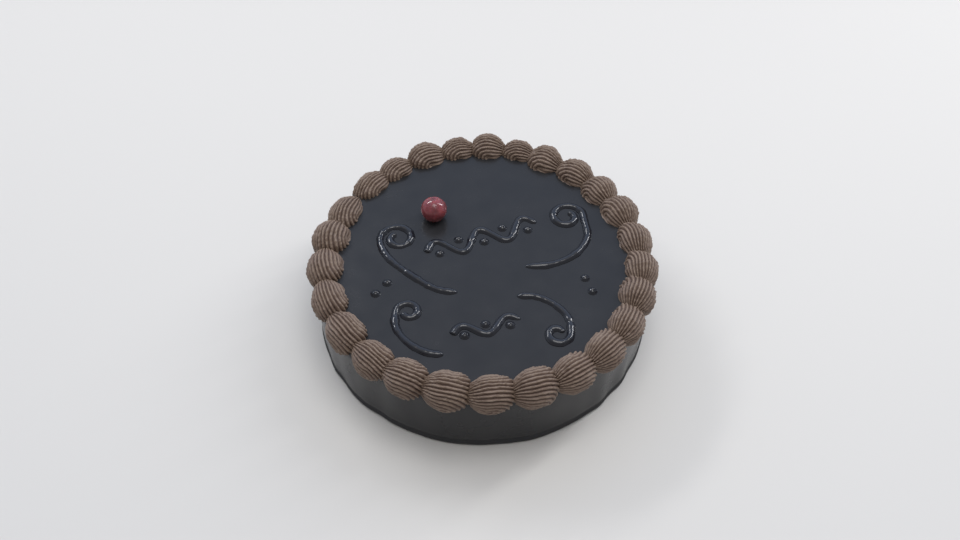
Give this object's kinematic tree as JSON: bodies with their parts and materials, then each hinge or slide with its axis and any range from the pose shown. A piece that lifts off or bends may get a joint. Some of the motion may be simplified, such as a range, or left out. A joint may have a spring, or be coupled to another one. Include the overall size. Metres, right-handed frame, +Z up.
{
  "type": "sachertorte cake",
  "caption": "Round uncut cake under dark glossy chocolate glaze, bordered with star-piped chocolate cream shells, with a candied cherry and piped chocolate scrolls on top.",
  "frame": {"origin": "centre of the whole part's footprint, at the underside that it rests on", "axes": "+Z up, -Y towards the viewer of the picture, +X to that viewer's right"},
  "size_m": [0.2312, 0.2352, 0.0688],
  "materials": {
    "chocolate_glaze": null,
    "chocolate_cream": null,
    "candied_cherry": "deep red syrup-glazed fruit, very glossy"
  },
  "bodies": {
    "root": {"cake": "chocolate_glaze", "cherry": "candied_cherry", "scroll_left": "chocolate_glaze", "scroll_right": "chocolate_glaze", "scroll_front_left": "chocolate_glaze", "scroll_front_right": "chocolate_glaze", "wave_back": "chocolate_glaze", "wave_front": "chocolate_glaze", "dot_01": "chocolate_glaze", "dot_02": "chocolate_glaze", "dot_03": "chocolate_glaze", "dot_04": "chocolate_glaze", "dot_05": "chocolate_glaze", "dot_06": "chocolate_glaze", "dot_07": "chocolate_glaze", "dot_08": "chocolate_glaze", "dot_09": "chocolate_glaze", "dot_10": "chocolate_glaze", "dot_11": "chocolate_glaze", "dot_12": "chocolate_glaze", "shell_01": "chocolate_cream", "shell_02": "chocolate_cream", "shell_03": "chocolate_cream", "shell_04": "chocolate_cream", "shell_05": "chocolate_cream", "shell_06": "chocolate_cream", "shell_07": "chocolate_cream", "shell_08": "chocolate_cream", "shell_09": "chocolate_cream", "shell_10": "chocolate_cream", "shell_11": "chocolate_cream", "shell_12": "chocolate_cream", "shell_13": "chocolate_cream", "shell_14": "chocolate_cream", "shell_15": "chocolate_cream", "shell_16": "chocolate_cream", "shell_17": "chocolate_cream", "shell_18": "chocolate_cream", "shell_19": "chocolate_cream", "shell_20": "chocolate_cream", "shell_21": "chocolate_cream", "shell_22": "chocolate_cream", "shell_23": "chocolate_cream", "shell_24": "chocolate_cream", "shell_25": "chocolate_cream", "shell_26": "chocolate_cream"}
  },
  "joints": []
}
